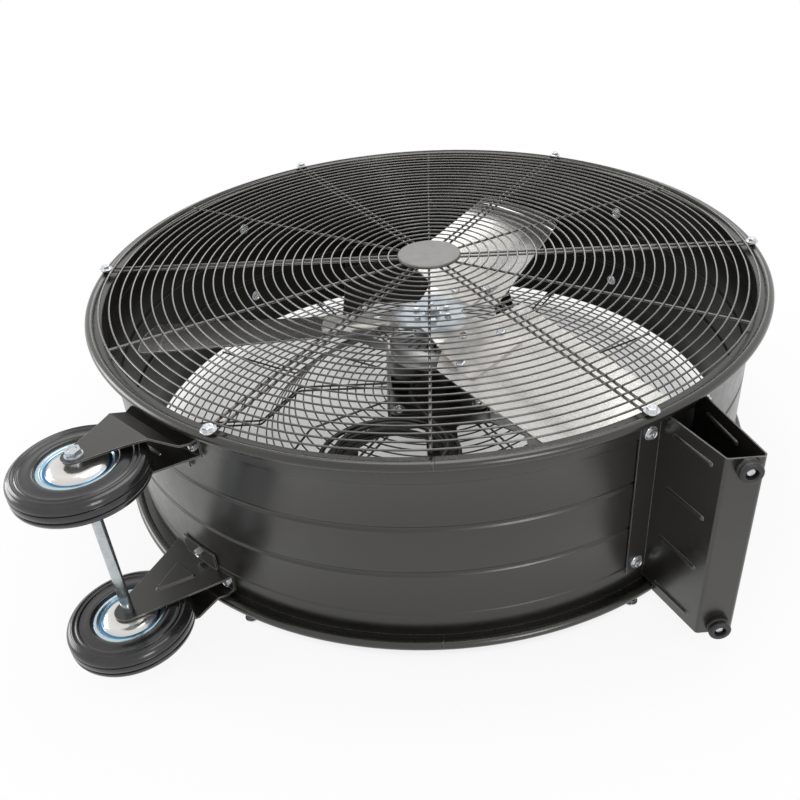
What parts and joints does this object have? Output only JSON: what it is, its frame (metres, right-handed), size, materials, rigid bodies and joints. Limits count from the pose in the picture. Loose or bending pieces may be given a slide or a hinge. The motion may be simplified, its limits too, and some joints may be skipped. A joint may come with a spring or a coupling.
{
  "type": "drum fan",
  "caption": "Large portable drum fan: steel drum with wire guards, a riveted aluminium impeller on a central motor, wheels, a stand foot and grab handles.",
  "frame": {"origin": "on the drum's axis, at the height of the lowest point when the fan lies on its rear side", "axes": "+Z along the drum's axis towards the front guard, where the air leaves; -Y towards the floor when the fan stands in use"},
  "size_m": [1.1606, 1.2216, 0.3736],
  "materials": {
    "black_powder_coat": "satin black powder coat",
    "black_coated_wire": "satin black powder coat on wire",
    "zinc_plated_steel": "bright zinc plating, slightly blue",
    "blade_aluminium": "mill finish aluminium sheet",
    "cast_aluminium": "fine cast aluminium",
    "bare_steel": "machined steel",
    "black_rubber": "moulded rubber",
    "tyre_rubber": "moulded solid rubber",
    "black_plastic": "moulded plastic"
  },
  "bodies": {
    "frame": {"drum_shell": "black_powder_coat", "front_rim": "black_powder_coat", "rear_rim": "black_powder_coat", "rear_middle_rings": "black_coated_wire", "rear_dish_rings": "black_coated_wire", "front_guard_rings": "black_coated_wire", "front_guard_spokes": "black_coated_wire", "front_guard_plate": "black_powder_coat", "front_guard_bolts": "zinc_plated_steel", "rear_guard_rings": "black_coated_wire", "rear_guard_spokes": "black_coated_wire", "rear_guard_plate": "black_powder_coat", "rear_guard_bolts": "zinc_plated_steel", "motor_mount": "black_powder_coat", "motor_bolts": "zinc_plated_steel", "motor_base": "black_powder_coat", "motor_shell": "black_powder_coat", "motor_end_bell": "cast_aluminium", "motor_stator": "bare_steel", "front_bearing": "bare_steel", "rear_bearing": "bare_steel", "upper_wheel_bracket": "black_powder_coat", "lower_wheel_bracket": "black_powder_coat", "bracket_bolts": "zinc_plated_steel", "wheel_axle": "zinc_plated_steel", "axle_tube": "zinc_plated_steel", "axle_nuts": "zinc_plated_steel", "axle_washers": "zinc_plated_steel", "stand_foot": "black_powder_coat", "foot_bolts": "zinc_plated_steel", "upper_foot_pad": "black_rubber", "lower_foot_pad": "black_rubber", "foot_pad_screws": "zinc_plated_steel", "left_handle": "black_powder_coat", "right_handle": "black_powder_coat", "handle_bolts": "zinc_plated_steel", "switch_box": "black_plastic", "switch_screws": "zinc_plated_steel", "cord_gland": "black_plastic"},
    "impeller": {"motor_rotor": "bare_steel", "motor_shaft": "bare_steel", "fan_hub": "zinc_plated_steel", "fan_spider": "zinc_plated_steel", "blade_1": "blade_aluminium", "blade_2": "blade_aluminium", "blade_3": "blade_aluminium", "blade_rivets": "zinc_plated_steel", "hub_bolts": "zinc_plated_steel", "shaft_nut": "zinc_plated_steel"},
    "upper_wheel": {"upper_tyre": "tyre_rubber", "upper_rim": "zinc_plated_steel", "upper_hub": "zinc_plated_steel"},
    "lower_wheel": {"lower_tyre": "tyre_rubber", "lower_rim": "zinc_plated_steel", "lower_hub": "zinc_plated_steel"},
    "switch_knob": {"switch_knob": "black_plastic"}
  },
  "joints": [
    {"name": "impeller_spin", "type": "hinge", "parent": "frame", "child": "impeller", "pos_m": [0, 0, 0.2], "axis": [0, 0, -1], "continuous": true},
    {"name": "upper_wheel_spin", "type": "hinge", "parent": "frame", "child": "upper_wheel", "pos_m": [-0.47981, -0.49168, 0.321], "axis": [0, 0, 1], "continuous": true},
    {"name": "lower_wheel_spin", "type": "hinge", "parent": "frame", "child": "lower_wheel", "pos_m": [-0.47981, -0.49168, 0.0398], "axis": [0, 0, 1], "continuous": true},
    {"name": "switch_knob_turn", "type": "hinge", "parent": "frame", "child": "switch_knob", "pos_m": [0.02931, 0.59928, 0.192], "axis": [0.0489, 0.9988, 0], "range_deg": [-120, 0]}
  ]
}
